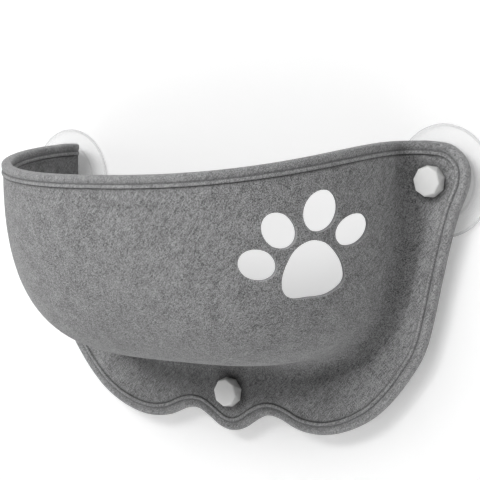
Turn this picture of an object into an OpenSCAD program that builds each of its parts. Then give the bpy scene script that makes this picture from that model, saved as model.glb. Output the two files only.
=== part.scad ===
// Window mounted cat perch: a moulded felt bowl and flange in one sheet, clamped to three
// suction cups by screwed knobs. X is across the window, Y goes into the glass and Z is up.
// The origin is the centre of the lower cup's lip, on the glass.

/* [Bowl] */
// Width of the bowl between its side walls, where they leave the flange
bowl_w = 388; // [350:1:430]
// How far the bowl's front stands out from the flange
bowl_reach = 178; // [150:1:200]
// Height of the bowl, from the wings' top edge down to its root on the flange
bowl_drop = 198; // [175:1:220]
// How much lower the rim lies at the front than at the flange
rim_dip = 27; // [12:1:40]
// Radius of the hollow bend from the side walls to the wings
side_bend_r = 14; // [10:1:16]
// Radius of the hollow bend from the bowl's bottom to the flange
bottom_bend_r = 22; // [16:1:30]

/* [Flange] */
// How far each wing reaches past the side bend
wing_reach = 46; // [42:1:58]
// Distance from the side bend out to a wing's stud
wing_stud_out = 12; // [11:0.5:14]
// Distance from the wings' top edge down to their studs
wing_stud_drop = 33; // [28:1:40]
// Distance from the bottom bend down to the lower stud
lower_stud_drop = 11; // [11:0.5:16]
// Distance from the lower stud down to the middle lobe's lowest point
lobe_inset = 35; // [30:1:42]

/* [Sheet] */
// Thickness of the outer felt and of the inner felt
felt_t = 2; // [1.5:0.1:2.5]
// Thickness of the foam core between the felts
foam_t = 3; // [2:0.1:4]

/* [Edge binding] */
// Width of the binding on the sheet's faces
hem_w = 10; // [9:0.5:12]
// Thickness of the binding over the felt
hem_t = 1; // [0.6:0.1:1.4]
// Thickness of the binding past the sheet's edge
hem_edge_t = 1.6; // [1:0.1:2.4]
// Width of the narrow lip at the binding's inner border, inside the sewn groove
hem_lip_w = 3.2; // [2.4:0.1:4]
// Width of the sewn groove
groove_w = 1.4; // [1:0.1:2]
// Depth of the sewn groove
groove_d = 0.7; // [0.3:0.1:0.8]

/* [Paw print] */
// Radius of the paw print's pad, which its toes follow
paw_r = 25; // [20:0.5:27]
// Turn of the paw's cutting direction away from the front, in degrees
paw_turn = 52; // [46:1:56]
// Tilt of the paw's cutting direction below the level, in degrees
paw_tilt = 5; // [0:1:10]

/* [Suction cups] */
// Radius of an upper cup's lip
cup_r = 49; // [42:0.5:52]
// Radius of the lower cup's lip
lower_cup_r = 32; // [30:0.5:34]
// Distance from the glass to the back of the flange
cup_h = 12; // [11:0.5:15]
// Thickness of a cup at its lip
cup_lip_t = 1.2; // [0.8:0.1:1.6]
// Width of the flat lip that lies on the glass
cup_lip_w = 3; // [2:0.5:5]
// Depth of the hollow under a pressed cup
cup_hollow = 2.6; // [1.5:0.1:3.2]
// Distance from a cup's lip in to the raised ring on its back
cup_ring_inset = 16; // [15:0.5:18]
// Radius of a cup's neck
neck_r = 9; // [8:0.5:11]

/* [Studs] */
// Radius of a stud's thread
stud_r = 3; // [2.5:0.1:3.4]
// Radius of the head inside the cup's neck
stud_head_r = 6.5; // [5:0.5:7]
// Thickness of that head
stud_head_t = 2; // [1.5:0.1:2.5]
// Length of thread inside a tightened knob
stud_grip = 6; // [5:0.5:6.5]

/* [Knobs] */
// Radius of a knob's base across its corners
knob_r = 14; // [12:0.5:15]
// Radius of a knob's front table across its corners
knob_table_r = 13; // [10:0.5:13.5]
// Thickness of a knob
knob_h = 9; // [8.5:0.5:12]
// Height of the straight band at a knob's base
knob_band_h = 1.6; // [1:0.1:2.5]
// Height of the narrow bevel round the table
knob_bevel = 0.9; // [0.5:0.1:1.4]
// Turn of a tightened knob, from the level to a corner of its table, in degrees
knob_turn = -8; // [-22:1:22]
// Radius of the threaded metal insert
insert_r = 4.5; // [4:0.1:5.5]
// Radius of the washer under a knob
washer_r = 10; // [8:0.5:10.5]
// Thickness of that washer
washer_t = 1; // [0.6:0.1:1.4]

/* [Clearances] */
// Radial clearance of a stud in its insert
thread_gap = 0.05; // [0.02:0.01:0.08]
// Radial clearance of a stud in its washer
washer_gap = 0.25; // [0.15:0.05:0.4]
// Radial clearance of a stud in the sheet
sheet_gap = 0.5; // [0.3:0.1:1]
// Clearance of the binding over the sheet's faces
hem_gap = 0.1; // [0.05:0.05:0.2]
// Space past the end of a stud inside its insert
tip_gap = 0.5; // [0.3:0.1:1]

/* [Hidden] */

// Overrun of every cut
cut = 1;
// Divisions of the large and the small circles, and the sides of a knob
round_fn = 96;
small_fn = 48;
knob_sides = 8;

// Exponents of the bowl's shape: two for its plan at the rim, two for its upright profile,
// one for its root on the flange and one for the way that the rim dips
plan_power = 2.4;
plan_edge_power = 3.2;
profile_power = 1.7;
profile_edge_power = 3.3;
front_power = 2;
root_power = 3.5;
dip_power = 1.8;

// Divisions of the sheet: round the bowl, from its front to its root, across the bend, and
// of the outer edge for each one round the bowl
rays = 48;
wall_rows = 14;
bend_rows = 4;
edge_steps = 3;
row_spread = 2.6;

// Half of the outer edge, as shares of the flange's half width and height
edge_shares = [[0.930, 0.013], [0.988, 0.063], [0.994, 0.134], [0.951, 0.232], [0.916, 0.342],
               [0.885, 0.457], [0.856, 0.572], [0.819, 0.681], [0.758, 0.769], [0.695, 0.840],
               [0.630, 0.896], [0.561, 0.936], [0.491, 0.963], [0.422, 0.978], [0.357, 0.979],
               [0.297, 0.969], [0.233, 0.944], [0.188, 0.934], [0.149, 0.937], [0.107, 0.956],
               [0.050, 0.989], [0, 1]];
// Where the outer edge leaves the top line, as a share of the wing's reach
edge_start_share = 0.1;

// The paw: where it lies on the bowl, then the pad's outline and the toes as shares of the
// pad's radius, with each toe's centre, half sizes and turn in degrees
paw_ray = 29;
paw_front_share = 0.935;
pad_shares = [[0.12, 0.93], [-0.34, 0.96], [-0.84, 0.62], [-1.15, -0.12], [-1.11, -0.72], [-0.75, -1.01],
              [-0.23, -0.98], [0.48, -0.90], [1.05, -0.50], [0.97, 0.11], [0.54, 0.68]];
toe_shares = [[-1.96, 0.14, 0.63, 0.52, -23], [-1.33, 1.30, 0.65, 0.53, 129],
              [0.08, 1.93, 0.71, 0.61, 64], [1.31, 1.23, 0.70, 0.52, 16]];
pad_steps = 3;
toe_sides = 20;
paw_depth = 2 * paw_r;

half_w = bowl_w / 2;
bend_end = half_w + side_bend_r;
edge_half_w = bend_end + wing_reach;
flange_h = bowl_drop + bottom_bend_r + lower_stud_drop + lobe_inset;
sheet_t = 2 * felt_t + foam_t;
wing_top = flange_h - lobe_inset;
front_y = -cup_h - sheet_t;
stud_x = bend_end + wing_stud_out;
stud_z = wing_top - wing_stud_drop;
edge_points = len(edge_shares);
outer_steps = rays * edge_steps;
steps_per_share = outer_steps / (2 * edge_points);
last_row = wall_rows + bend_rows;
insert_h = stud_grip + tip_gap;
head_top = cup_hollow + stud_head_t;

function mix(a, b, share) = a + (b - a) * share;
function unit(v) = v / norm(v);
function bend_at(ray) = mix(side_bend_r, bottom_bend_r, pow(sin(ray), 2));

// Distance from the bowl's axis to the contour at a share of the way from its front to its root
function contour_r(ray, share) =
    let (power = mix(front_power, root_power, share * share))
    1 / pow(pow(abs(cos(ray)) / half_w, power) + pow(sin(ray) / bowl_drop, power), 1 / power);

// How far the wall stands out at that share, from the rim's plan at upright 0 to the profile at 1
function wall_out(share, upright, bend) =
    bend + (bowl_reach - bend)
    * pow(max(0, 1 - pow(share, mix(plan_power, profile_power, upright))),
          1 / mix(plan_edge_power, profile_edge_power, upright));

function rim_out(x) =
    x < half_w ? wall_out(x / half_w, 0, side_bend_r)
    : x < bend_end ? side_bend_r - sqrt(pow(side_bend_r, 2) - pow(bend_end - x, 2))
    : 0;

function rim_lower(x) = rim_dip * pow(rim_out(abs(x)) / bowl_reach, dip_power);

function sheet_point(x, down, out) =
    [x, front_y - out, wing_top - down - rim_lower(x) * max(0, 1 - down / bowl_drop)];

function wall_point(ray, share) =
    let (r = share * contour_r(ray, share))
    sheet_point(r * cos(ray), r * sin(ray), wall_out(share, pow(sin(ray), 2), bend_at(ray)));

function bend_point(ray, angle) =
    let (bend = bend_at(ray), r = contour_r(ray, 1) + bend * (1 - cos(angle)))
    sheet_point(r * cos(ray), r * sin(ray), bend * (1 - sin(angle)));

function row_point(row, ray) =
    row <= wall_rows
    ? wall_point(ray, 1 - pow(1 - row / wall_rows, row_spread))
    : bend_point(ray, 90 * (row - wall_rows) / bend_rows);

// A smooth curve through a list of points
function curve_at(a, b, c, d, t) =
    (2 * b + (c - a) * t + (2 * a - 5 * b + 4 * c - d) * t * t + (3 * b - a - 3 * c + d) * t * t * t) / 2;

function edge_share_point(i) =
    i < 0 ? [bend_end, wing_top]
    : i == 0 ? [bend_end + edge_start_share * wing_reach, wing_top]
    : i <= edge_points ? [edge_shares[i - 1][0] * edge_half_w, wing_top - edge_shares[i - 1][1] * flange_h]
    : [-edge_shares[2 * edge_points - i - 1][0] * edge_half_w,
       wing_top - edge_shares[2 * edge_points - i - 1][1] * flange_h];

function half_edge_point(step) =
    let (i = min(floor(step / steps_per_share), edge_points - 1), t = step / steps_per_share - i)
    curve_at(edge_share_point(i - 1), edge_share_point(i), edge_share_point(i + 1), edge_share_point(i + 2), t);

function outer_point(step) =
    let (mirrored = step > outer_steps / 2, p = half_edge_point(mirrored ? outer_steps - step : step))
    [mirrored ? -p[0] : p[0], front_y, p[1]];

// The outer face of the sheet: its front point, its rows and its outer edge
grid = [for (row = [1:last_row]) [for (i = [0:rays]) row_point(row, 180 * i / rays)]];
front_point = wall_point(90, 0);
flat_normal = [0, -1, 0];

function grid_normal(row, i) =
    row == last_row ? flat_normal
    : let (across = grid[row - 1][min(i + 1, rays)] - grid[row - 1][max(i - 1, 0)],
           inner = row == 1 ? front_point : grid[row - 2][i])
      unit(cross(across, grid[row][i] - inner));

face_points = concat([front_point], [for (row = grid) for (p = row) p],
                     [for (step = [0:outer_steps]) outer_point(step)]);
face_normals = concat([flat_normal], [for (row = [1:last_row]) for (i = [0:rays]) grid_normal(row, i)],
                      [for (step = [0:outer_steps]) flat_normal]);
face_count = len(face_points);

function grid_index(row, i) = 1 + (row - 1) * (rays + 1) + i;
function outer_index(step) = 1 + last_row * (rays + 1) + step;

face_triangles = concat(
    [for (i = [0:rays - 1]) [0, grid_index(1, i), grid_index(1, i + 1)]],
    [for (row = [1:last_row - 1]) for (i = [0:rays - 1]) for (half = [0, 1])
        half == 0 ? [grid_index(row, i), grid_index(row + 1, i), grid_index(row + 1, i + 1)]
        : [grid_index(row, i), grid_index(row + 1, i + 1), grid_index(row, i + 1)]],
    [for (i = [0:rays - 1]) for (k = [0:edge_steps - 1])
        [grid_index(last_row, k == 0 ? i : i + 1), outer_index(edge_steps * i + k),
         outer_index(edge_steps * i + k + 1)]],
    [for (i = [0:rays - 1])
        [grid_index(last_row, i), outer_index(edge_steps * i + 1), grid_index(last_row, i + 1)]]);

// The loop round the sheet: the outer edge from right to left, then the rim back to the right
edge_loop = concat([for (step = [0:outer_steps]) outer_index(step)],
                   [for (row = [last_row:-1:1]) grid_index(row, rays)], [0],
                   [for (row = [1:last_row]) grid_index(row, 0)]);
loop_count = len(edge_loop);

// One layer of the sheet, between two depths below the outer face
module layer(from, to) {
    front = [for (k = [0:face_count - 1]) face_points[k] - from * face_normals[k]];
    back = [for (k = [0:face_count - 1]) face_points[k] - to * face_normals[k]];
    sides = [for (k = [0:loop_count - 1]) for (half = [0, 1])
        let (a = edge_loop[k], b = edge_loop[(k + 1) % loop_count])
        half == 0 ? [a, a + face_count, b + face_count] : [a, b + face_count, b]];
    difference() {
        polyhedron(concat(front, back),
                   concat([for (t = face_triangles) t],
                          [for (t = face_triangles) [t[0] + face_count, t[2] + face_count, t[1] + face_count]],
                          sides), convexity = 10);
        paw_print();
        at_studs() stud_hole();
    }
}

module at_studs() {
    at_stud("left") children();
    at_stud("right") children();
    at_stud("lower") children();
}

// Places a piece drawn along +Z from the glass so that it stands out from the glass at a stud
module at_stud(place) {
    x = place == "left" ? -stud_x : place == "right" ? stud_x : 0;
    translate([x, 0, place == "lower" ? 0 : stud_z]) rotate([90, 0, 0]) children();
}

module stud_hole() {
    translate([0, 0, cup_h - cut]) cylinder(h = sheet_t + 2 * cut, r = stud_r + sheet_gap, $fn = small_fn);
}

function toe_outline(toe) =
    [for (k = [0:toe_sides - 1])
        let (turn = 360 * k / toe_sides, x = toe[2] * cos(turn), y = toe[3] * sin(turn))
        paw_r * [toe[0] + x * cos(toe[4]) - y * sin(toe[4]), toe[1] + x * sin(toe[4]) + y * cos(toe[4])]];

pad_points = len(pad_shares);
pad_outline = [for (i = [0:pad_points - 1]) for (step = [0:pad_steps - 1])
    paw_r * curve_at(pad_shares[(i + pad_points - 1) % pad_points], pad_shares[i],
                     pad_shares[(i + 1) % pad_points], pad_shares[(i + 2) % pad_points], step / pad_steps)];

module paw_print() {
    translate(wall_point(paw_ray, paw_front_share))
        rotate([90 + paw_tilt, 0, paw_turn])
        translate([0, 0, -paw_depth]) {
            linear_extrude(2 * paw_depth) polygon(pad_outline);
            for (toe = toe_shares) linear_extrude(2 * paw_depth) polygon(toe_outline(toe));
        }
}

module outer_felt() {
    color("#7b7c7e") layer(0, felt_t);
}

module foam_core() {
    color("#a3a4a6") layer(felt_t, felt_t + foam_t);
}

module inner_felt() {
    color("#6f7072") layer(felt_t + foam_t, sheet_t);
}

// The binding's section: how far past the sheet's edge, then how far above its outer face
lip_edge = hem_lip_w - hem_w;
hem_section = [[-hem_w, hem_gap],
               [-hem_w, hem_gap + hem_t],
               [lip_edge, hem_gap + hem_t],
               [lip_edge + groove_w / 2, hem_gap + hem_t - groove_d],
               [lip_edge + groove_w, hem_gap + hem_t],
               [hem_edge_t / 2, hem_gap + hem_t],
               [hem_edge_t, hem_gap - hem_edge_t / 2],
               [hem_edge_t, hem_edge_t / 2 - hem_gap - sheet_t],
               [hem_edge_t / 2, -hem_gap - hem_t - sheet_t],
               [lip_edge + groove_w, -hem_gap - hem_t - sheet_t],
               [lip_edge + groove_w / 2, groove_d - hem_gap - hem_t - sheet_t],
               [lip_edge, -hem_gap - hem_t - sheet_t],
               [-hem_w, -hem_gap - hem_t - sheet_t],
               [-hem_w, -hem_gap - sheet_t],
               [0, -hem_gap - sheet_t],
               [0, hem_gap]];
hem_sides = len(hem_section);

function loop_point(k) = face_points[edge_loop[(k + loop_count) % loop_count]];

function hem_ring(k) =
    let (normal = face_normals[edge_loop[k]],
         inward = unit(cross(loop_point(k + 1) - loop_point(k - 1), normal)))
    [for (s = hem_section) loop_point(k) - s[0] * inward + s[1] * normal];

module edge_binding() {
    rings = [for (k = [0:loop_count - 1]) for (p = hem_ring(k)) p];
    faces = [for (k = [0:loop_count - 1]) for (s = [0:hem_sides - 1]) for (half = [0, 1])
        let (a = k * hem_sides, b = ((k + 1) % loop_count) * hem_sides, t = (s + 1) % hem_sides)
        half == 0 ? [a + s, a + t, b + t] : [a + s, b + t, b + s]];
    color("#77787a") polyhedron(rings, faces, convexity = 10);
}

// A cup's outline from its axis out along the glass and back over its outside
cup_dish_t = cup_lip_t + cup_hollow;
cup_ring_h = cup_lip_t / 2;
neck_foot = cup_h / 2 + cup_lip_t;
hollow_share = 0.8;
function cup_profile(lip_r) =
    let (ring_r = lip_r - cup_ring_inset)
    [[0, cup_hollow],
     [ring_r, cup_hollow * hollow_share],
     [lip_r - cup_lip_w, 0],
     [lip_r, 0],
     [lip_r, cup_lip_t / 2],
     [lip_r - cup_lip_t, cup_lip_t],
     [ring_r + 2 * cup_lip_t, cup_dish_t],
     [ring_r + cup_lip_t, cup_dish_t + cup_ring_h],
     [ring_r, cup_dish_t + cup_ring_h],
     [ring_r - cup_lip_t, cup_dish_t + cup_ring_h / 2],
     [neck_r + cup_lip_t, neck_foot],
     [neck_r, neck_foot + cup_lip_t],
     [neck_r, cup_h],
     [0, cup_h]];

module suction_cup(lip_r) {
    color("#e6eaec") difference() {
        rotate_extrude($fn = round_fn) polygon(cup_profile(lip_r));
        stud();
    }
}

module stud() {
    translate([0, 0, head_top - stud_head_t / 2])
        cylinder(h = stud_head_t, r = stud_head_r, $fn = small_fn);
    translate([0, 0, head_top])
        cylinder(h = cup_h + sheet_t + washer_t + stud_grip - head_top, r = stud_r, $fn = small_fn);
}

module cup_stud() {
    color("#b9bcc0") stud();
}

module knob_washer() {
    color("#c8cacc") translate([0, 0, cup_h + sheet_t]) difference() {
        cylinder(h = washer_t, r = washer_r, $fn = small_fn);
        translate([0, 0, -cut]) cylinder(h = washer_t + 2 * cut, r = stud_r + washer_gap, $fn = small_fn);
    }
}

module knob_insert() {
    color("#c9b37a") translate([0, 0, cup_h + sheet_t + washer_t]) difference() {
        cylinder(h = insert_h, r = insert_r, $fn = small_fn);
        translate([0, 0, -cut]) cylinder(h = insert_h + 2 * cut, r = stud_r + thread_gap, $fn = small_fn);
    }
}

function knob_ring(r, z, turned) =
    [for (k = [0:knob_sides - 1])
        let (turn = knob_turn + 360 * (k + turned) / knob_sides)
        [r * cos(turn), r * sin(turn), z]];

// A knob: a straight band, then three-sided facets up to an eight-sided table with a bevel.
// Each ring of corners is listed in turn, and a corner is numbered by its ring and its place.
module knob() {
    levels = concat(knob_ring(knob_r, 0, -1 / 2), knob_ring(knob_r, knob_band_h, -1 / 2),
                    knob_ring(knob_table_r, knob_h - knob_bevel, 0),
                    knob_ring(knob_table_r - knob_bevel, knob_h, 0));
    band = knob_sides;
    table = 2 * knob_sides;
    top = 3 * knob_sides;
    faces = concat([[for (k = [0:knob_sides - 1]) k]],
                   [for (k = [0:knob_sides - 1]) for (side = [0:3])
                       let (n = (k + 1) % knob_sides)
                       side == 0 ? [k, k + band, n + band, n]
                       : side == 1 ? [k + band, k + table, n + band]
                       : side == 2 ? [k + table, n + table, n + band]
                       : [k + table, k + top, n + top, n + table]],
                   [[for (k = [knob_sides - 1:-1:0]) k + top]]);
    color("#f2f2f0") translate([0, 0, cup_h + sheet_t + washer_t]) difference() {
        polyhedron(levels, faces);
        translate([0, 0, -cut]) cylinder(h = insert_h + cut, r = insert_r, $fn = small_fn);
    }
}

outer_felt();
foam_core();
inner_felt();
edge_binding();
at_stud("left") suction_cup(cup_r);  // suction_cup_left
at_stud("right") suction_cup(cup_r);  // suction_cup_right
at_stud("lower") suction_cup(lower_cup_r);  // suction_cup_lower
at_stud("left") cup_stud();  // cup_stud_left
at_stud("right") cup_stud();  // cup_stud_right
at_stud("lower") cup_stud();  // cup_stud_lower
at_stud("left") knob();  // knob_left
at_stud("right") knob();  // knob_right
at_stud("lower") knob();  // knob_lower
at_stud("left") knob_insert();  // knob_insert_left
at_stud("right") knob_insert();  // knob_insert_right
at_stud("lower") knob_insert();  // knob_insert_lower
at_stud("left") knob_washer();  // knob_washer_left
at_stud("right") knob_washer();  // knob_washer_right
at_stud("lower") knob_washer();  // knob_washer_lower
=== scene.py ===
"""Looks of a window mounted cat perch: a moulded felt bowl on suction cups with screwed knobs.

Everything is in metres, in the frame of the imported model: X to the right, Y to the back, where the
cups' lips lie at 0, and Z up. The sheet's shape is worked out again from the sizes that the solids have.
"""

import math

import bpy
import numpy as np
from mathutils import Matrix, Quaternion, Vector

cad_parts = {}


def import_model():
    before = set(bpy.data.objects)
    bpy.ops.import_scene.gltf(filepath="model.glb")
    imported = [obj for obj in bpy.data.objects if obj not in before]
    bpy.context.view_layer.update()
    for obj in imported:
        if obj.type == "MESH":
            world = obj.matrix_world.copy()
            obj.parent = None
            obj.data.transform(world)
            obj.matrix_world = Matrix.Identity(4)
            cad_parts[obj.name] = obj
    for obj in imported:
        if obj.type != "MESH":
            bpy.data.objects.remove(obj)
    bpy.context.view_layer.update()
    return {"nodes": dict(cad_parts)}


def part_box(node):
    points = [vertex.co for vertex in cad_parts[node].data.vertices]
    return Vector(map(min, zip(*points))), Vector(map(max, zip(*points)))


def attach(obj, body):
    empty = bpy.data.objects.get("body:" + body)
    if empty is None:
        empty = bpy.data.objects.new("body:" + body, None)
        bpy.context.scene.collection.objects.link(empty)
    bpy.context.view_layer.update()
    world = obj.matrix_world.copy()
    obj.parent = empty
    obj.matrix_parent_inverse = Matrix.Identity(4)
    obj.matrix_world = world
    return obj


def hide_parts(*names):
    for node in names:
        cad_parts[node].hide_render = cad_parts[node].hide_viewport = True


MM = 0.001

# Camera, found from the photograph
CAMERA_AT = (0.9847, -1.2513, 0.2307)
CAMERA_LOOKS_AT = (0.0447, -0.060, 0.14505)
CAMERA_ROLL = math.radians(-0.44)
CAMERA_LENS = 127.5

# Lamps
LAMPS_LOOK_AT = (0, -0.09, 0.1)
LAMP_DISTANCE = 2.2
LAMP_SIZE = 1.1

# Each lamp's name, its turn to the right and its rise in degrees, and how bright it makes white
LAMPS = [("key", -15, 35, 0.40), ("second", 10, 35, 0.27), ("left_fill", -70, 5, 0.12)]
WORLD_LIGHT = 0.2
WORLD_SEEN = 1.0
BACKDROP_GLOW = 0.27

# Bowl and flange
HALF_W = 194 * MM
BOWL_REACH = 178 * MM
BOWL_DROP = 198 * MM
RIM_DIP = 27 * MM
SIDE_BEND_R = 14 * MM
BOTTOM_BEND_R = 22 * MM
WING_REACH = 46 * MM
LOWER_STUD_DROP = 11 * MM
LOBE_INSET = 35 * MM
PLAN_POWER = 2.4
PLAN_EDGE_POWER = 3.2
PROFILE_POWER = 1.7
PROFILE_EDGE_POWER = 3.3
FRONT_POWER = 2
ROOT_POWER = 3.5
DIP_POWER = 1.8
BEND_END = HALF_W + SIDE_BEND_R
EDGE_HALF_W = BEND_END + WING_REACH
FLANGE_H = BOWL_DROP + BOTTOM_BEND_R + LOWER_STUD_DROP + LOBE_INSET
WING_TOP = FLANGE_H - LOBE_INSET

# Half of the flange's outer edge, as shares of its half width and height from the top line
EDGE_SHARES = [(0.930, 0.013), (0.988, 0.063), (0.994, 0.134), (0.951, 0.232), (0.916, 0.342),
               (0.885, 0.457), (0.856, 0.572), (0.819, 0.681), (0.758, 0.769), (0.695, 0.840),
               (0.630, 0.896), (0.561, 0.936), (0.491, 0.963), (0.422, 0.978), (0.357, 0.979),
               (0.297, 0.969), (0.233, 0.944), (0.188, 0.934), (0.149, 0.937), (0.107, 0.956),
               (0.050, 0.989), (0, 1)]
EDGE_START_SHARE = 0.1

# Layers of the sheet
FELT_T = 2 * MM
FOAM_T = 3 * MM
SHEET_T = 2 * FELT_T + FOAM_T

# Divisions of the sheet's surface
RAYS = 288
WALL_ROWS = 34
BEND_ROWS = 8
FLANGE_ROWS = 6
ROW_SPREAD = 2.6

# Painted shade in the hollow bend round the bowl's root, at some rays from the bowl's side to its bottom:
# the ray in degrees, where the felt is darkest as a share of the way from the bend's middle to its end, how
# far that reaches up the bowl and over the flange in millimetres, and how much darker the felt is
BEND_SHADE = [(0, 0.6, 15, 15, 0.47), (40, 0.4, 12, 12, 0.45), (45, 0.42, 11, 11, 0.42), (52, 0.6, 13, 11, 0.39),
         (60, 0.8, 10, 11, 0.37), (70, 1, 15, 19, 0.28), (80, 0.45, 22, 30, 0.32), (84, 0.3, 24, 33, 0.32),
         (90, 0.1, 25, 38, 0.42)]
BEND_SHADE_POWER = 3

# Painted shade on the binding where it turns the bends
HEM_BEND_SHADE = 0.24
HEM_BEND_SHADE_REACH = 26 * MM

# How much darker the felt and the binding are than on the wings: painted light that keeps the wings lighter
FELT_OFF_WING_SHADE = 0.215
HEM_OFF_WING_SHADE = 0.14
WING_FROM = 110 * MM
WING_FADE = 60 * MM
WALL_FADE = 10 * MM

# How much darker the felt is in the painted shadow round the knobs, and how far past them that reaches
KNOB_SHADOW_DARK = 0.42
KNOB_SHADOW_REACH = 9 * MM

# Edge binding
HEM_W = 10 * MM
HEM_T = 1.1 * MM
HEM_EDGE_T = 1.6 * MM
HEM_CROWN = 0.3 * MM
LIP_W = 3.2 * MM
GROOVE_W = 1.1 * MM
GROOVE_D = 0.9 * MM
CREASE_W = 2.2 * MM
# The painted shadow in the crease, as a share of it where the binding runs upright
CREASE_SHADE_LEAST_SHARE = 0.3
HEM_STEP = 3 * MM
STITCH_PITCH = 4.2 * MM
STITCH_LENGTH = 3.3 * MM
STITCH_R = 0.34 * MM
STITCH_WIDTH_SHARE = 1.25
STITCH_SINK_SHARE = 0.8

# Paw print cut through the bowl
PAW_R = 25 * MM
PAW_RAY = 29
PAW_FRONT_SHARE = 0.935
PAW_TURN = math.radians(52)
PAW_TILT = math.radians(5)
PAD_SHARES = [(0.12, 0.93), (-0.34, 0.96), (-0.84, 0.62), (-1.15, -0.12), (-1.11, -0.72), (-0.75, -1.01),
              (-0.23, -0.98), (0.48, -0.90), (1.05, -0.50), (0.97, 0.11), (0.54, 0.68)]
TOE_SHARES = [(-1.96, 0.14, 0.63, 0.52, -23), (-1.33, 1.30, 0.65, 0.53, 129),
              (0.08, 1.93, 0.71, 0.61, 64), (1.31, 1.23, 0.70, 0.52, 16)]
PAD_STEPS = 8
TOE_SIDES = 56

# Suction cups
CUP_R = {"left": 49 * MM, "right": 49 * MM, "lower": 32 * MM}
CUP_H = 12 * MM
CUP_HOLLOW = 2.6 * MM
CUP_RING_INSET = 16 * MM
NECK_R = 9 * MM
CUP_SIDES = 128

# How far in from the lip, about the ring and out from the neck the vinyl is thick, and how thick it is
THICK_REACH = (2 * MM, 1 * MM, 1 * MM)
THICK_SHARES = (1, 0.5, 0.7)

# Studs, knobs and what is in them
STUD_R = 3 * MM
STUD_PITCH = 1 * MM
THREAD_DEPTH = 0.5 * MM
STUD_HEAD_R = 6.5 * MM
STUD_HEAD_T = 2 * MM
STUD_GRIP = 6 * MM
KNOB_R = 14 * MM
KNOB_TABLE_R = 13 * MM
KNOB_H = 9 * MM
KNOB_BAND_H = 1.6 * MM
KNOB_BEVEL = 0.9 * MM
KNOB_SIDES = 8
KNOB_TURN = math.radians(-8)
KNOB_EDGE_R = 0.22 * MM
INSERT_R = 4.5 * MM
INSERT_H = 6.5 * MM
WASHER_T = 1 * MM
HOLE_R = 3.5 * MM

# Painted shade: how much darker a knob's sides are than its table, and how much more its foot is
KNOB_SIDE_SHADE = 0.13
KNOB_FOOT_SHADE = 0.16

# Colours: the felts, and the darkest and lightest tones of the plastic, the brass and the steel
BLACK = (0, 0, 0)
OUTER_FELT = (0.32, 0.321, 0.324)
INNER_FELT = (0.23, 0.231, 0.233)
BINDING_FELT = (0.337, 0.338, 0.341)
WHITE_PLASTIC = [(0.86, 0.86, 0.855), (0.92, 0.92, 0.91)]
BRASS = [(0.62, 0.44, 0.18), (0.78, 0.60, 0.30)]
STAMPED_STEEL = [(0.52, 0.52, 0.54), (0.66, 0.66, 0.68)]

# Felt's fibres: how long and wide they are, and how far their tones spread below and above its colour
COARSE_FIBRE = (11 * MM, 2.2 * MM)
FINE_FIBRE = (5 * MM, 0.65 * MM)
FIBRE_SPREAD = (0.62, 0.68)
BINDING_CONTRAST = 0.75

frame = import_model()
FRONT_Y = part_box("knob_washer_right")[1].y
PLACES = {}
for place in ("left", "right", "lower"):
    stud_low, stud_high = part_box("cup_stud_" + place)
    PLACES[place] = Vector(((stud_low.x + stud_high.x) / 2, 0, (stud_low.z + stud_high.z) / 2))


# Materials

# Turns of the X axis to the two diagonals of the planes across X, Y and Z, and how strong each is
SLANT = math.radians(45)
QUARTER = math.radians(90)
FIBRE_TURNS = {"X": [(0, -SLANT, QUARTER), (0, SLANT, QUARTER)], "Y": [(0, -SLANT, 0), (0, SLANT, 0)],
               "Z": [(0, 0, SLANT), (0, 0, -SLANT)]}
FIBRE_SHARES = (0.8, 0.5)


class Value:
    """A node's output. Sums, products and powers of it add Math nodes."""

    def __init__(self, finish, socket):
        self.finish = finish
        self.socket = socket

    def __add__(self, other):
        return self.finish.maths("ADD", self, other)

    def __sub__(self, other):
        return self.finish.maths("SUBTRACT", self, other)

    def __rsub__(self, other):
        return self.finish.maths("SUBTRACT", other, self)

    def __mul__(self, other):
        return self.finish.maths("MULTIPLY", self, other)

    def __pow__(self, other):
        return self.finish.maths("POWER", self, other)

    def __abs__(self):
        return self.finish.maths("ABSOLUTE", self, 0)

    __radd__ = __add__
    __rmul__ = __mul__


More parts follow.
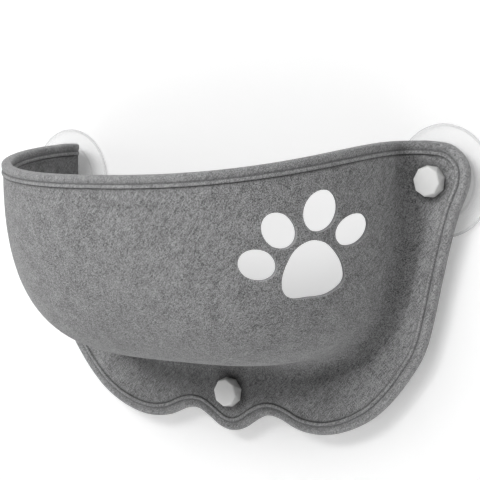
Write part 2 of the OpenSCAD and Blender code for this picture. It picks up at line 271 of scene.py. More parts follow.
class Finish:
    """One material, whose nodes are added by node() and by maths on their values."""

    def __init__(self, name):
        self.material = bpy.data.materials.new(name)
        self.material.use_nodes = True
        self.nodes = self.material.node_tree.nodes
        self.links = self.material.node_tree.links
        self.nodes.clear()
        self.place = self.node("TexCoord")["Object"]

    def node(self, kind, settings=None, inputs=None):
        """Adds a node, gives it its settings and then its inputs, and returns its outputs by name."""
        made = self.nodes.new("ShaderNode" + kind)
        for key, value in (settings or {}).items():
            setattr(made, key, value)
        for key, value in (inputs or {}).items():
            socket = made.inputs[key]
            if isinstance(value, Value):
                self.links.new(value.socket, socket)
            else:
                socket.default_value = value
        return {output.name: Value(self, output) for output in made.outputs if output.enabled}

    def maths(self, operation, a, b):
        return self.node("Math", {"operation": operation}, {0: a, 1: b})["Value"]

    def noise(self, scale, detail=2.0, roughness=0.5, at=None, distortion=0.0):
        """Fractal noise about zero, from -0.5 to 0.5, with features of 1 / scale metres."""
        made = self.node("TexNoise", None, {"Vector": at or self.place, "Scale": scale, "Detail": detail,
                                            "Roughness": roughness, "Distortion": distortion})
        return made["Fac"] - 0.5

    def fibres(self, length, width, detail=0.0):
        """Noise drawn out into crossing fibres that lie in the surface, whichever way it faces."""
        facing = self.node("SeparateXYZ", None, {"Vector": self.node("NewGeometry")["Normal"]})
        crossing = []
        for axis, turns in FIBRE_TURNS.items():
            for turn, share in zip(turns, FIBRE_SHARES):
                along = self.node("Mapping", {"vector_type": "TEXTURE"},
                                  {"Vector": self.place, "Rotation": turn, "Scale": (length, width, width)})
                crossing.append(abs(facing[axis]) * self.noise(1, detail, 0.5, along["Vector"]) * share)
        return sum(crossing[1:], crossing[0])

    def near(self, point, start, reach):
        """From 1 within a distance of a point down to 0 past its reach."""
        away = self.node("VectorMath", {"operation": "DISTANCE"}, {0: self.place, 1: point})["Value"]
        return self.node("MapRange", {"interpolation_type": "SMOOTHSTEP"},
                         {"Value": away, "From Min": start, "From Max": start + reach,
                          "To Min": 1, "To Max": 0})["Result"]

    def mixed(self, share, a, b):
        """A colour between a and b."""
        made = self.nodes.new("ShaderNodeMix")
        made.data_type = "RGBA"
        for index, value in ((0, share), (6, a), (7, b)):
            if isinstance(value, Value):
                self.links.new(value.socket, made.inputs[index])
            else:
                made.inputs[index].default_value = value if index == 0 else (*value, 1)
        return Value(self, made.outputs[2])

    def bump(self, height, strength, distance):
        inputs = {"Height": height, "Strength": strength, "Distance": distance}
        return self.node("Bump", None, inputs)["Normal"]

    def surface(self, inputs):
        """The principled shader with these inputs, as the material's surface."""
        self.output(self.node("BsdfPrincipled", None, inputs)["BSDF"])

    def output(self, shader):
        self.node("OutputMaterial", None, {"Surface": shader})


def felt(name, tone, contrast=1.0):
    """Heathered needle felt: light and dark fibres, matted at random, with painted shade read from its
    points and a painted shadow round the knobs.
    """
    f = Finish(name)
    coarse = f.fibres(*COARSE_FIBRE, 1)
    fine = f.fibres(*FINE_FIBRE)
    grain = f.noise(1150, 1, 0.5)
    cloud = f.noise(70, 3, 0.55)
    shade = coarse * 0.6 + fine * 1.1 + grain * 2.1 + cloud * 0.5
    darker, lighter = FIBRE_SPREAD
    dark_tone = tuple(c * (1 - darker * contrast) for c in tone)
    light_tone = tuple(c * (1 + lighter * contrast) for c in tone)
    # Painted shade stored on the points: in the bend, off the lighter painted wings and in the binding's
    # crease and groove
    pressed = f.node("Attribute", {"attribute_name": "pressed"})["Fac"]
    # A painted shadow round each knob
    knob_shadows = [f.near((centre.x, FRONT_Y, centre.z), KNOB_R, KNOB_SHADOW_REACH) for centre in PLACES.values()]
    heather = f.mixed(pressed, f.mixed(shade + 0.5, dark_tone, light_tone), BLACK)
    nap = coarse * 0.4 + fine * 0.35 + grain * 0.4
    f.surface({"Base Color": f.mixed(sum(knob_shadows[1:], knob_shadows[0]) * KNOB_SHADOW_DARK, heather, BLACK),
               "Roughness": 0.92, "Specular IOR Level": 0.15, "Sheen Weight": 0.22, "Sheen Roughness": 0.55,
               "Normal": f.bump(nap, 0.6, 0.7 * MM)})
    return f.material


def foam():
    """Moulded foam, paler than the felt, with fine open cells at its cut faces."""
    f = Finish("cut_foam")
    cells = f.node("TexVoronoi", {"feature": "F1"}, {"Vector": f.place, "Scale": 1300})["Distance"]
    cloud = f.noise(260, 2, 0.5)
    f.surface({"Base Color": f.mixed(cells + cloud * 0.5, (0.40, 0.40, 0.41), (0.28, 0.28, 0.29)),
               "Roughness": 0.95, "Specular IOR Level": 0.2, "Normal": f.bump(cells, 0.5, 0.3 * MM)})
    return f.material


def thread():
    """Grey sewing thread, its twist a fine slanting pattern."""
    f = Finish("sewing_thread")
    twist = f.fibres(2 * MM, 0.4 * MM, 1)
    f.surface({"Base Color": f.mixed(twist + 0.5, (0.10, 0.10, 0.105), (0.25, 0.25, 0.255)),
               "Roughness": 0.7, "Sheen Weight": 0.2, "Normal": f.bump(twist, 0.5, 0.15 * MM)})
    return f.material


def clear_vinyl():
    """Soft clear vinyl, slightly milky, which shows most at its edges and where it is thick."""
    f = Finish("clear_vinyl")
    cloud = f.noise(55, 2, 0.5)
    ripple = f.noise(160, 1, 0.4)
    edge = f.node("LayerWeight", None, {"Blend": 0.3})["Facing"]
    thick = f.node("Attribute", {"attribute_name": "thick"})["Fac"]
    f.surface({"Base Color": f.mixed(edge ** 2 + thick * 0.5, (0.97, 0.975, 0.98), (0.34, 0.35, 0.36)),
               "Roughness": cloud * 0.12 + 0.16, "IOR": 1.45,
               "Alpha": edge * 0.42 + thick * 0.14 + cloud * 0.04 + 0.06,
               "Normal": f.bump(ripple, 0.12, 0.4 * MM)})
    return f.material


def white_plastic():
    """Satin white moulded plastic with a faint grain and a little handling wear, and painted shade down its
    sides.
    """
    f = Finish("white_plastic")
    depth = f.node("SeparateXYZ", None, {"Vector": f.place})["Y"]
    foot_y = FRONT_Y - WASHER_T
    side_y = foot_y - KNOB_H + KNOB_BEVEL
    # Painted shade on the sides below the bevel, deeper toward the foot
    side = f.maths("GREATER_THAN", depth, side_y)
    foot = f.node("MapRange", None, {"Value": depth, "From Min": side_y, "From Max": foot_y})["Result"]
    grain = f.noise(1900, 2, 0.5)
    smear = f.noise(140, 3, 0.6, distortion=1.2)
    white = f.mixed(smear + 0.5, *WHITE_PLASTIC)
    f.surface({"Base Color": f.mixed(side * KNOB_SIDE_SHADE + foot * KNOB_FOOT_SHADE, white, BLACK),
               "Roughness": smear * 0.25 + 0.38, "Specular IOR Level": 0.45,
               "Normal": f.bump(grain, 0.16, 0.1 * MM)})
    return f.material


def plated_steel():
    """Zinc plated steel with a fine crystalline bloom."""
    f = Finish("plated_steel")
    bloom = f.noise(420, 3, 0.6)
    f.surface({"Base Color": f.mixed(bloom + 0.5, (0.50, 0.50, 0.52), (0.68, 0.68, 0.69)), "Metallic": 1.0,
               "Roughness": bloom * 0.3 + 0.36, "Normal": f.bump(bloom, 0.1, 0.1 * MM)})
    return f.material


def turned_metal(name, place, low, high):
    """Metal with fine turning marks, in rings round a stud's axis."""
    f = Finish(name)
    centre = PLACES[place]
    at = f.node("Mapping", {"vector_type": "POINT"}, {"Vector": f.place, "Location": -centre})["Vector"]
    rings = f.node("TexWave", {"wave_type": "RINGS", "rings_direction": "Y"},
                   {"Vector": at, "Scale": 480, "Distortion": 1.5, "Detail": 2.0})["Fac"]
    wear = f.noise(260, 2, 0.5)
    f.surface({"Base Color": f.mixed(wear + 0.5, low, high), "Metallic": 1.0,
               "Roughness": rings * 0.12 + wear * 0.2 + 0.26, "Normal": f.bump(rings, 0.15, 0.05 * MM)})
    return f.material


# Modelling helpers


def deselect():
    bpy.ops.object.select_all(action="DESELECT")


def named(name):
    """Names the object that was added last, and its mesh."""
    made = bpy.context.object
    made.name = name
    made.data.name = name
    return made


def only(piece):
    """Makes a piece the one selected and active object."""
    deselect()
    piece.select_set(True)
    bpy.context.view_layer.objects.active = piece


def edit(piece, *steps):
    """Runs operators on the whole of a piece in edit mode."""
    only(piece)
    bpy.ops.object.mode_set(mode="EDIT")
    bpy.ops.mesh.select_all(action="SELECT")
    for step in steps:
        step()
    bpy.ops.object.mode_set(mode="OBJECT")


def merge_points():
    bpy.ops.mesh.remove_doubles(threshold=0.005 * MM)


def face_outwards():
    bpy.ops.mesh.normals_make_consistent(inside=False)


def apply_modifier(piece, kind, **settings):
    only(piece)
    modifier = piece.modifiers.new(kind.lower(), kind)
    for key, value in settings.items():
        setattr(modifier, key, value)
    bpy.ops.object.modifier_apply(modifier=modifier.name)


def smooth(piece, degrees):
    only(piece)
    bpy.ops.object.shade_smooth_by_angle(angle=math.radians(degrees))


def grid(name, points):
    """A grid shaped to an array of points, row by row."""
    rows, columns = points.shape[:2]
    deselect()
    bpy.ops.mesh.primitive_grid_add(x_subdivisions=columns - 1, y_subdivisions=rows - 1, size=1)
    made = named(name)
    made.data.vertices.foreach_set("co", points.reshape(-1).astype(np.float32))
    made.data.update()
    return made


def mark_pressed(piece, values):
    """Stores how much painted shade darkens the felt at each point of a piece."""
    marks = piece.data.attributes.new("pressed", "FLOAT", "POINT")
    marks.data.foreach_set("value", values.reshape(-1).astype(np.float32))


def mark_thick(cup, lip_r):
    """Stores where a cup's vinyl is thick: at its lip, at its ring and at its neck."""
    points = np.array([v.co for v in cup.data.vertices])
    out = np.hypot(points[:, 0], points[:, 1])
    ring_r = lip_r - CUP_RING_INSET
    lip_reach, ring_reach, neck_reach = THICK_REACH
    places = [out > lip_r - lip_reach, np.abs(out - ring_r) < ring_reach, out < NECK_R + neck_reach]
    values = np.select(places, THICK_SHARES, 0)
    marks = cup.data.attributes.new("thick", "FLOAT", "POINT")
    marks.data.foreach_set("value", values.astype(np.float32))


def dress(piece, material, body, node=None):
    """Gives a new piece its material and its body, and hides the node it stands for if it has one."""
    piece.data.materials.clear()
    piece.data.materials.append(material)
    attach(piece, body)
    if node:
        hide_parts(node)


def dress_node(node, material):
    piece = frame["nodes"][node]
    piece.data.materials.clear()
    piece.data.materials.append(material)


def stand_at(piece, place):
    """Turns a piece that is drawn upwards from the cup's lip to point to the front, at its stud."""
    only(piece)
    piece.rotation_euler = (math.pi / 2, 0, 0)
    piece.location = PLACES[place]
    bpy.ops.object.transform_apply(location=True, rotation=True, scale=True)
    return piece


def turned(name, outline, sides):
    """A solid of revolution about +Z through an outline of radii and heights."""
    deselect()
    (radius, height), rest = outline[0], outline[1:]
    bpy.ops.mesh.primitive_circle_add(vertices=sides, radius=radius, fill_type="NGON", location=(0, 0, 0))
    made = named(name)
    made.location.z = height
    bpy.ops.object.transform_apply(location=True)
    bpy.ops.object.mode_set(mode="EDIT")
    bpy.ops.mesh.select_all(action="SELECT")
    for next_radius, next_height in rest:
        bpy.ops.mesh.extrude_region_move(TRANSFORM_OT_translate={"value": (0, 0, next_height - height)})
        share = next_radius / radius
        bpy.ops.transform.resize(value=(share, share, 1), center_override=(0, 0, 0))
        radius, height = next_radius, next_height
    bpy.ops.mesh.select_all(action="SELECT")
    face_outwards()
    bpy.ops.object.mode_set(mode="OBJECT")
    return made


# The sheet's shape


def mix(a, b, share):
    return a + (b - a) * share


def bend_at(ray):
    return mix(SIDE_BEND_R, BOTTOM_BEND_R, np.sin(ray)**2)


def contour_r(ray, share):
    """Distance from the bowl's axis to the contour at a share of the way from its front to its root."""
    power = mix(FRONT_POWER, ROOT_POWER, share**2)
    across, down = np.abs(np.cos(ray)) / HALF_W, np.abs(np.sin(ray)) / BOWL_DROP
    return (across**power + down**power)**(-1 / power)


def wall_out(share, upright, bend):
    """How far the bowl's wall stands out, from the rim's plan at upright 0 to the profile at 1."""
    left = np.clip(1 - share**mix(PLAN_POWER, PROFILE_POWER, upright), 0, 1)
    return bend + (BOWL_REACH - bend) * left**(1 / mix(PLAN_EDGE_POWER, PROFILE_EDGE_POWER, upright))


def rim_out(x):
    in_bend = SIDE_BEND_R - np.sqrt(np.clip(SIDE_BEND_R**2 - (BEND_END - x)**2, 0, None))
    on_wall = wall_out(np.clip(x / HALF_W, 0, 1), 0, SIDE_BEND_R)
    return np.where(x < HALF_W, on_wall, np.where(x < BEND_END, in_bend, 0))


def sheet_point(x, down, out):
    """A point of the sheet's outer face, lowered as the rim dips."""
    lower = RIM_DIP * (rim_out(np.abs(x)) / BOWL_REACH)**DIP_POWER
    z = WING_TOP - down - lower * np.clip(1 - down / BOWL_DROP, 0, None)
    return np.stack([x, FRONT_Y - out, z], -1)


def wall_point(ray, share):
    r = share * contour_r(ray, share)
    return sheet_point(r * np.cos(ray), r * np.sin(ray), wall_out(share, np.sin(ray)**2, bend_at(ray)))


def bend_point(ray, angle):
    bend = bend_at(ray)
    r = contour_r(ray, 1) + bend * (1 - np.cos(angle))
    return sheet_point(r * np.cos(ray), r * np.sin(ray), bend * (1 - np.sin(angle)))


def curve_at(a, b, c, d, t):
    """A smooth curve through b and c, at t from 0 to 1 between them."""
    return (2 * b + (c - a) * t + (2 * a - 5 * b + 4 * c - d) * t**2 + (3 * b - a - 3 * c + d) * t**3) / 2


def half_edge():
    """The points of the right half of the flange's outer edge, with one before it and one past it."""
    shares = np.array(EDGE_SHARES)
    half = np.stack([shares[:, 0] * EDGE_HALF_W, WING_TOP - shares[:, 1] * FLANGE_H], 1)
    start = [(BEND_END, WING_TOP), (BEND_END + EDGE_START_SHARE * WING_REACH, WING_TOP)]
    return np.vstack([start, half, half[-2] * (-1, 1)])


def outer_edge(steps):
    """The flange's outer edge from right to left, in a number of equal steps of its shares."""
    points = half_edge()
    spans = len(EDGE_SHARES)
    at = np.linspace(0, 2 * spans, steps + 1)
    folded = np.minimum(at, 2 * spans - at)
    first = np.minimum(folded.astype(int), spans - 1)
    t = (folded - first)[:, None]
    edge = curve_at(points[first], points[first + 1], points[first + 2], points[first + 3], t)
    side = np.where(at > spans, -1, 1)
    return np.stack([edge[:, 0] * side, np.full(steps + 1, FRONT_Y), edge[:, 1]], -1)


def sheet_surface():
    """Points and outward normals of the sheet's outer face, from the bowl's front out to the edge."""
    ray = np.linspace(0, math.pi, RAYS + 1)[None]
    share = 1 - (1 - np.linspace(0, 1, WALL_ROWS + 1)[:, None])**ROW_SPREAD
    wall = wall_point(ray, share)
    bend = bend_point(ray, np.linspace(0, math.pi / 2, BEND_ROWS + 1)[1:, None])
    along = np.linspace(0, 1, FLANGE_ROWS + 1)[1:, None, None]
    flange = mix(bend[-1][None], outer_edge(RAYS)[None], along)
    points = np.concatenate([wall, bend, flange])
    normals = np.cross(np.gradient(points, axis=1), np.gradient(points, axis=0))
    flat = (0, -1, 0)
    normals[0] = flat
    normals[WALL_ROWS + BEND_ROWS:] = flat
    normals /= np.linalg.norm(normals, axis=-1, keepdims=True)
    return points, normals


SURFACE, NORMALS = sheet_surface()


# Where the painted light on the wings falls
def off_wings(points):
    """From 0 on the flange's two wings to 1 on the rest of the sheet."""
    across = np.clip((np.abs(points[..., 0]) - WING_FROM) / WING_FADE, 0, 1)
    return 1 - across * np.exp(-(np.clip(FRONT_Y - points[..., 1], 0, None) / WALL_FADE)**2)


def bend_painted_shade():
    """How much darker the felt is painted, as shade in the hollow bend round the bowl's root."""
    steps = np.linalg.norm(np.diff(SURFACE, axis=0), axis=-1)
    run = np.concatenate([np.zeros((1, RAYS + 1)), np.cumsum(steps, axis=0)])
    middle, end = run[WALL_ROWS + BEND_ROWS // 2], run[WALL_ROWS + BEND_ROWS]
    ray = np.linspace(0, 180, RAYS + 1)
    folded = np.minimum(ray, 180 - ray)
    rays, *rest = np.array(BEND_SHADE).T
    shift, wall_reach, flange_reach, dark = (np.interp(folded, rays, row) for row in rest)
    away = run - mix(middle, end, shift)
    reach = MM * np.where(away < 0, wall_reach, flange_reach)
    return dark * np.exp(-np.abs(away / reach)**BEND_SHADE_POWER)


def edge_loop():
    """Points and normals round the sheet at even steps: its outer edge, then the rim back to the right."""
    def loop_of(grid_values):
        return np.concatenate([grid_values[-1], grid_values[-2:0:-1, -1], grid_values[:-1, 0]])

    points, normals = loop_of(SURFACE), loop_of(NORMALS)
    closed = np.vstack([points, points[:1]])
    run = np.concatenate([[0], np.cumsum(np.linalg.norm(np.diff(closed, axis=0), axis=1))])
    steps = round(run[-1] / HEM_STEP)
    at = np.linspace(0, run[-1], steps, endpoint=False)
    closed_normals = np.vstack([normals, normals[:1]])
    even, facing = (np.stack([np.interp(at, run, values[:, k]) for k in range(3)], -1)
                    for values in (closed, closed_normals))
    return even, facing / np.linalg.norm(facing, axis=1, keepdims=True), run[-1]


LOOP, LOOP_NORMALS, LOOP_LENGTH = edge_loop()
LOOP_ALONG = np.roll(LOOP, -1, 0) - np.roll(LOOP, 1, 0)
LOOP_ALONG /= np.linalg.norm(LOOP_ALONG, axis=1, keepdims=True)
LOOP_INWARD = np.cross(LOOP_ALONG, LOOP_NORMALS)
LOOP_INWARD /= np.linalg.norm(LOOP_INWARD, axis=1, keepdims=True)


# Felt, foam and binding


def cutter(name, outline):
    """A prism along +Z, through an outline of local points."""
    deselect()
    bpy.ops.mesh.primitive_circle_add(vertices=len(outline), fill_type="NGON")
    made = named(name)
    flat = np.column_stack([outline, np.full(len(outline), -2 * PAW_R)])
    made.data.vertices.foreach_set("co", flat.reshape(-1))
    made.data.update()

    def deepen():
        bpy.ops.mesh.extrude_region_move(TRANSFORM_OT_translate={"value": (0, 0, 4 * PAW_R)})
        bpy.ops.mesh.select_all(action="SELECT")
        face_outwards()

    edit(made, deepen)
    return made


def paw_cutters():
    """The pad and the toes as prisms, set where they go through the bowl's wall."""
    pad = np.array(PAD_SHARES)
    before, after, past = np.roll(pad, 1, 0), np.roll(pad, -1, 0), np.roll(pad, -2, 0)
    steps = np.linspace(0, 1, PAD_STEPS, endpoint=False)
    outlines = [np.stack([curve_at(before, pad, after, past, t) for t in steps], 1).reshape(-1, 2)]
    round_it = np.linspace(0, 2 * math.pi, TOE_SIDES, endpoint=False)
    for x, y, long, wide, turn in TOE_SHARES:
        c, s = math.cos(math.radians(turn)), math.sin(math.radians(turn))
        across, up = long * np.cos(round_it), wide * np.sin(round_it)
        outlines.append(np.stack([x + across * c - up * s, y + across * s + up * c], 1))
    centre = wall_point(np.array(math.radians(PAW_RAY)), np.array(PAW_FRONT_SHARE))
    made = [cutter(f"paw_cutter_{k}", PAW_R * outline) for k, outline in enumerate(outlines)]
    for piece in made:
        only(piece)
        piece.rotation_euler = (math.pi / 2 + PAW_TILT, 0, PAW_TURN)
        piece.location = centre
        bpy.ops.object.transform_apply(location=True, rotation=True)
    return made


def stud_cutters():
    made = []
    for place, centre in PLACES.items():
        deselect()
        bpy.ops.mesh.primitive_cylinder_add(vertices=64, radius=HOLE_R, depth=4 * SHEET_T,
                                            rotation=(math.pi / 2, 0, 0),
                                            location=(centre.x, FRONT_Y, centre.z))
        bpy.ops.object.transform_apply(location=True, rotation=True)
        made.append(named("hole_cutter_" + place))
    return made


def joined(pieces, name):
    """Joins pieces into the first one."""
    deselect()
    for piece in pieces:
        piece.select_set(True)
    bpy.context.view_layer.objects.active = pieces[0]
    bpy.ops.object.join()
    return named(name)


def layer(name, depth, thickness, cutters):
    """One moulded layer of the sheet, cut through by the paw print and the studs' holes."""
    made = grid(name, SURFACE - depth * NORMALS)
    # Painted shade in the bend, and painted light that keeps the wings lighter than the rest
    mark_pressed(made, bend_painted_shade() + FELT_OFF_WING_SHADE * off_wings(SURFACE))
    edit(made, merge_points)
    if made.data.polygons[0].normal.y > 0:
        edit(made, bpy.ops.mesh.flip_normals)
    apply_modifier(made, "SOLIDIFY", thickness=thickness, offset=-1, use_even_offset=True)
    apply_modifier(made, "BOOLEAN", operation="DIFFERENCE", solver="EXACT", object=cutters)
    smooth(made, 40)
    return made


def hem_section():
    """The binding's section: how far past the sheet's edge, how far above its face, and how dark its
    painted shade is.
    """
    lip_edge = LIP_W - HEM_W
    groove_edge = lip_edge + GROOVE_W
    floor = HEM_T - GROOVE_D
    middle = -SHEET_T / 2
    shoulder = -1.6 * MM
    sunk = -0.06 * MM
    raised = 0.03 * MM
    top = HEM_T + HEM_CROWN
    # Third values: painted shade, a contact shadow in the crease and at the lip's feet, and in the groove
    # and down the band
    crease = [(-HEM_W - CREASE_W, sunk, 0.12), (-HEM_W - CREASE_W, raised, 0.12),
              (-HEM_W - CREASE_W / 2, raised, 0.34), (-HEM_W, raised, 0.72)]
    lip = [(-HEM_W + LIP_W * (1 - math.cos(a)) / 2, mix(floor, top, math.sin(a)**0.6), dark)
           for a, dark in zip(np.radians([25, 55, 90, 125, 155]), (0.2, 0, 0, 0, 0.15))]
    groove = [(lip_edge + GROOVE_W * t, floor, 0.3) for t in (0.2, 0.8)]
    band = [(mix(groove_edge, shoulder, t), floor + (top - floor) * math.sin(t * math.pi / 2)**0.6, dark)
            for t, dark in ((0.03, 0.2), (0.1, 0.1), (0.25, 0.1), (0.45, 0.08), (0.7, 0.04))]
    rounding = [(shoulder + (HEM_EDGE_T - shoulder) * math.cos(a)**0.8,
                 middle + (top - middle) * math.sin(a)**0.9, 0)
                for a in np.linspace(math.pi / 2, 0, 9)]
    front = crease + lip + groove + band + rounding
    back = [(out, 2 * middle - up, dark) for out, up, dark in reversed(front[:-1])]
    inside = [(0.2 * MM, -SHEET_T - sunk, 0), (0.2 * MM, sunk, 0)]
    return np.array(front + back + inside)


def ring_points(section):
    """The points of a section at every step round the sheet's edge."""
    out, up = section[:, 0][None, :, None], section[:, 1][None, :, None]
    return LOOP[:, None] - out * LOOP_INWARD[:, None] + up * LOOP_NORMALS[:, None]


def binding():
    section = hem_section()
    rings = ring_points(section)
    rings = np.concatenate([rings, rings[:1]])
    rings = np.concatenate([rings, rings[:, :1]], 1)
    made = grid("edge_binding_sewn", rings)
    mirrored = np.abs(LOOP * (1, 0, 0)) + LOOP * (0, 1, 1)
    from_bend = np.linalg.norm(mirrored - (BEND_END, FRONT_Y, WING_TOP), axis=1)
    # Painted shade where the binding turns the bends, and painted light on its wings
    along = HEM_BEND_SHADE * np.exp(-(from_bend / HEM_BEND_SHADE_REACH)**2) + HEM_OFF_WING_SHADE * off_wings(LOOP)
    # The painted shadow in the crease under the lip is strongest where the binding runs level
    crease_shade = np.where(section[:, 0] <= -HEM_W, mix(CREASE_SHADE_LEAST_SHARE, 1, np.abs(LOOP_INWARD[:, 2:])), 1)
    dark = section[:, 2] * crease_shade + along[:, None]
    dark = np.concatenate([dark, dark[:1]])
    mark_pressed(made, np.concatenate([dark, dark[:, :1]], 1))
    edit(made, merge_points, face_outwards)
    smooth(made, 60)
    return made


def stitches(name, face):
    """Stitches in the binding's groove, on the outer face at 1 or on the inner face at -1."""
    deselect()
    bpy.ops.mesh.primitive_uv_sphere_add(segments=8, ring_count=6, radius=1)
    one = named("one_stitch")
    one.scale = (STITCH_R * STITCH_WIDTH_SHARE, STITCH_R, STITCH_LENGTH / 2)
    bpy.ops.object.transform_apply(scale=True)
    count = round(LOOP_LENGTH / STITCH_PITCH)
    middle = -SHEET_T / 2
    out = LIP_W - HEM_W + GROOVE_W / 2
    up = middle + face * (HEM_T - GROOVE_D * STITCH_SINK_SHARE - middle)
    line = ring_points(np.array([[out, up]]))[:, 0]
    copies = []
    for k in range(count):
        at = k * len(line) / count
        near = int(at)
        past = (near + 1) % len(line)
        centre = mix(line[near], line[past], at - near)
        along, normal = Vector(LOOP_ALONG[near]), Vector(LOOP_NORMALS[near])
        side = normal.cross(along).normalized()
        turn = Matrix((side, normal, along)).transposed().to_4x4()
        copy = one.copy()
        copy.data = one.data.copy()
        bpy.context.scene.collection.objects.link(copy)
        copy.data.transform(Matrix.Translation(centre) @ turn)
        copies.append(copy)
    bpy.data.objects.remove(one)
    made = joined(copies, name)
    smooth(made, 60)
    return made


def build_sheet():
    cutters = joined(paw_cutters() + stud_cutters(), "cutters")
    outer = layer("outer_felt_moulded", 0, FELT_T, cutters)
    core = layer("foam_core_moulded", FELT_T, FOAM_T, cutters)
    inner = layer("inner_felt_moulded", FELT_T + FOAM_T, FELT_T, cutters)
    bpy.data.objects.remove(cutters)
    hem = binding()
    front_stitches = stitches("binding_stitches_front", 1)
    back_stitches = stitches("binding_stitches_back", -1)
    sewn = thread()
    dress(outer, felt("outer_felt", OUTER_FELT), "shell", "outer_felt")
    dress(core, foam(), "shell", "foam_core")
    dress(inner, felt("inner_felt", INNER_FELT), "shell", "inner_felt")
    dress(hem, felt("binding_felt", BINDING_FELT, BINDING_CONTRAST), "shell", "edge_binding")
    dress(front_stitches, sewn, "shell")
    dress(back_stitches, sewn, "shell")


# Cups, studs and knobs


def cup_outline(lip_r):
    """A pressed cup's outline: from the middle of its hollow, round its lip and up to its neck."""
    ring_r = lip_r - CUP_RING_INSET
    bead = 1.3 * MM
    bead_in, bead_top = lip_r - 2.2 * bead, 0.95 * bead
    ring_in, ring_low = ring_r - 1.4 * MM, 3.9 * MM
    edge = 0.6 * MM
    hollow = [(ring_r * share, CUP_HOLLOW * (1 - 0.25 * share**2)) for share in (0.03, 0.3, 0.6, 0.85, 1)]
    under = [(mix(ring_r, lip_r - 3 * MM, t), CUP_HOLLOW * 0.75 * (1 - t)**1.3)
             for t in (0.3, 0.6, 0.85, 1)]
    lip = [(lip_r - bead / 2 + bead / 2 * math.cos(a), bead / 2 + bead / 2 * math.sin(a))
           for a in np.radians([-90, -45, 0, 45, 90])]
    step = [(lip_r - 1.5 * bead, 0.75 * bead), (bead_in, bead_top)]
    dish = [(mix(bead_in, ring_r + 2.5 * MM, t), mix(bead_top, 3.6 * MM, t**0.9))
            for t in (0.25, 0.5, 0.75, 1)]
    ring = [(ring_r + 1.6 * MM, 4.3 * MM), (ring_r + 0.8 * MM, 4.6 * MM), (ring_r - 0.4 * MM, 4.5 * MM),
            (ring_in, ring_low)]
    cone = [(mix(ring_in, NECK_R + 2 * MM, t), mix(ring_low, 7 * MM, t**1.4)) for t in (0.3, 0.6, 1)]
    neck = [(NECK_R + 0.5 * MM, 8 * MM), (NECK_R, 9 * MM), (NECK_R, CUP_H - edge),
            (NECK_R - edge, CUP_H), (1 * MM, CUP_H)]
    return hollow + under + lip + step + dish + ring + cone + neck


def stud(name):
    """A stud with its head inside the cup's neck and a rolled thread out to its tip."""
    steps_per_turn, rows_per_pitch = 24, 8
    edge, gap = 0.4 * MM, 0.1 * MM
    head_top = CUP_HOLLOW + STUD_HEAD_T
    tip = CUP_H + SHEET_T + WASHER_T + STUD_GRIP
    foot = head_top - STUD_HEAD_T / 2
    head = [(0, foot), (STUD_HEAD_R - edge, foot), (STUD_HEAD_R, foot + edge),
            (STUD_HEAD_R, foot + STUD_HEAD_T - edge), (STUD_HEAD_R - edge, foot + STUD_HEAD_T),
            (STUD_R, foot + STUD_HEAD_T)]
    round_it = np.linspace(0, 2 * math.pi, steps_per_turn + 1)
    rows = [np.stack([r * np.cos(round_it), r * np.sin(round_it), 0 * round_it + z], -1) for r, z in head]
    start = head[-1][1]
    for z in np.arange(start + gap, tip, STUD_PITCH / rows_per_pitch):
        phase = (z / STUD_PITCH - round_it / (2 * math.pi)) % 1
        ends = min(1, (z - start) / STUD_PITCH, (tip - z) / STUD_PITCH + 0.15)
        r = STUD_R - THREAD_DEPTH * (np.abs(2 * phase - 1) * ends + (1 - ends) * 0.8)
        rows.append(np.stack([r * np.cos(round_it), r * np.sin(round_it), 0 * round_it + z], -1))
    rows.append(rows[-1] * (0, 0, 1) + (0, 0, gap))
    made = grid(name, np.array(rows))
    edit(made, merge_points, face_outwards)
    smooth(made, 50)
    return made


def knob(name):
    """A faceted knob: a straight band, three-sided facets and an eight-sided table with a bevel."""
    half_side = math.pi / KNOB_SIDES
    rings = [(KNOB_R, 0, -half_side), (KNOB_R, KNOB_BAND_H, -half_side),
             (KNOB_TABLE_R, KNOB_H - KNOB_BEVEL, 0), (KNOB_TABLE_R - KNOB_BEVEL, KNOB_H, 0)]
    deselect()
    circles = []
    for radius, height, turn in rings:
        # The circle's first point is on +Y, a quarter turn ahead of X
        bpy.ops.mesh.primitive_circle_add(vertices=KNOB_SIDES, radius=radius, location=(0, 0, height),
                                          rotation=(0, 0, KNOB_TURN + turn))
        circles.append(bpy.context.object)
    made = joined(circles, name)
    bpy.ops.object.transform_apply(location=True, rotation=True, scale=True)

    def close():
        bpy.ops.mesh.convex_hull()
        bpy.ops.mesh.select_all(action="SELECT")
        bpy.ops.mesh.dissolve_limited(angle_limit=math.radians(1))
        face_outwards()

    edit(made, close)
    deselect()
    bpy.ops.mesh.primitive_cylinder_add(vertices=48, radius=INSERT_R, depth=2 * INSERT_H)
    bore = named("insert_bore")
    apply_modifier(made, "BOOLEAN", operation="DIFFERENCE", solver="EXACT", object=bore)
    bpy.data.objects.remove(bore)
    apply_modifier(made, "BEVEL", width=KNOB_EDGE_R, segments=3, limit_method="ANGLE",
                   angle_limit=math.radians(8))
    smooth(made, 12)
    made.data.transform(Matrix.Translation((0, 0, CUP_H + SHEET_T + WASHER_T)))
    return made


def build_fixings():
    vinyl, steel, plastic = clear_vinyl(), plated_steel(), white_plastic()
    for place in PLACES:
        cup = turned("cup_" + place, cup_outline(CUP_R[place]), CUP_SIDES)
        mark_thick(cup, CUP_R[place])
        stand_at(cup, place)
        smooth(cup, 50)
        dress(cup, vinyl, "shell", "suction_cup_" + place)
        pin = stand_at(stud("threaded_stud_" + place), place)
        dress(pin, steel, "shell", "cup_stud_" + place)
        grip = stand_at(knob("faceted_knob_" + place), place)
        dress(grip, plastic, "knob_" + place, "knob_" + place)
        dress_node("knob_insert_" + place, turned_metal("turned_brass_" + place, place, *BRASS))
        dress_node("knob_washer_" + place, turned_metal("stamped_steel_" + place, place, *STAMPED_STEEL))


# Stage, light and camera


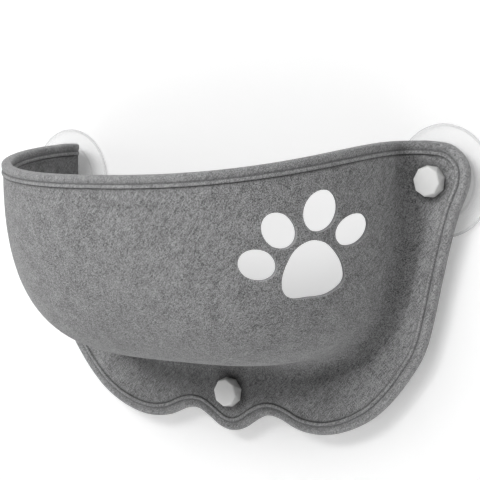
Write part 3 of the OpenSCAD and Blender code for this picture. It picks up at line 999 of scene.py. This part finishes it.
def backdrop():
    """A white sweep behind and below the perch, which lets a view from behind look through it."""
    wall_y, floor_z, bend_r, reach, half = 0.002, -0.42, 0.12, 2.2, 2.4
    bend = [(wall_y - bend_r + bend_r * math.cos(a), floor_z + bend_r - bend_r * math.sin(a))
            for a in np.linspace(0, math.pi / 2, 13)]
    profile = [(wall_y, 2.0)] + bend + [(-reach, floor_z)]
    points = np.array([[(x, y, z) for x in (-half, half)] for y, z in profile])
    made = grid("backdrop", points)
    if made.data.polygons[0].normal.y > 0:
        edit(made, bpy.ops.mesh.flip_normals)
    smooth(made, 60)
    f = Finish("backdrop_paper")
    paths = f.node("LightPath")
    bounced = f.maths("MAXIMUM", paths["Is Glossy Ray"], paths["Is Transmission Ray"])
    seen = f.maths("MAXIMUM", paths["Is Camera Ray"], bounced)
    paper = f.node("BsdfDiffuse", None, {"Color": (0.9, 0.9, 0.9, 1)})["BSDF"]
    glow = f.node("Emission", None, {"Color": (1, 1, 1, 1), "Strength": seen * BACKDROP_GLOW})["Emission"]
    lit = f.node("AddShader", None, {0: paper, 1: glow})["Shader"]
    behind = f.node("NewGeometry")["Backfacing"]
    f.output(f.node("MixShader", None, {0: behind, 1: lit, 2: f.node("BsdfTransparent")["BSDF"]})["Shader"])
    made.data.materials.append(f.material)


def lamp(name, turn, rise, share):
    """A round lamp on a sphere about the perch, which makes white that faces it this share of white."""
    turn, rise = math.radians(turn), math.radians(rise)
    away = Vector((math.sin(turn) * math.cos(rise), -math.cos(turn) * math.cos(rise), math.sin(rise)))
    light = bpy.data.lights.new(name, "AREA")
    light.shape = "DISK"
    light.size = LAMP_SIZE
    light.energy = share * (math.pi * LAMP_DISTANCE)**2
    made = bpy.data.objects.new(name, light)
    made.location = Vector(LAMPS_LOOK_AT) + away * LAMP_DISTANCE
    made.rotation_mode = "QUATERNION"
    made.rotation_quaternion = (-away).to_track_quat("-Z", "Y")
    bpy.context.scene.collection.objects.link(made)


def world():
    made = bpy.data.worlds.new("studio")
    made.use_nodes = True
    bpy.context.scene.world = made
    nodes, links = made.node_tree.nodes, made.node_tree.links
    nodes.clear()
    paths = nodes.new("ShaderNodeLightPath")
    strength = nodes.new("ShaderNodeMapRange")
    strength.inputs["To Min"].default_value = WORLD_LIGHT
    strength.inputs["To Max"].default_value = WORLD_SEEN
    background = nodes.new("ShaderNodeBackground")
    output = nodes.new("ShaderNodeOutputWorld")
    links.new(paths.outputs["Is Camera Ray"], strength.inputs["Value"])
    links.new(strength.outputs["Result"], background.inputs["Strength"])
    links.new(background.outputs["Background"], output.inputs["Surface"])
    background.inputs["Color"].default_value = (1, 1, 1, 1)


def light_and_camera():
    for values in LAMPS:
        lamp(*values)
    world()
    camera = bpy.data.cameras.new("camera")
    camera.lens = CAMERA_LENS
    made = bpy.data.objects.new("camera", camera)
    made.location = CAMERA_AT
    made.rotation_mode = "QUATERNION"
    looks = (Vector(CAMERA_LOOKS_AT) - Vector(CAMERA_AT)).to_track_quat("-Z", "Y")
    made.rotation_quaternion = looks @ Quaternion((0, 0, 1), CAMERA_ROLL)
    bpy.context.scene.collection.objects.link(made)
    bpy.context.scene.camera = made
    bpy.context.scene.view_settings.view_transform = "Standard"


light_and_camera()
build_sheet()
build_fixings()
backdrop()
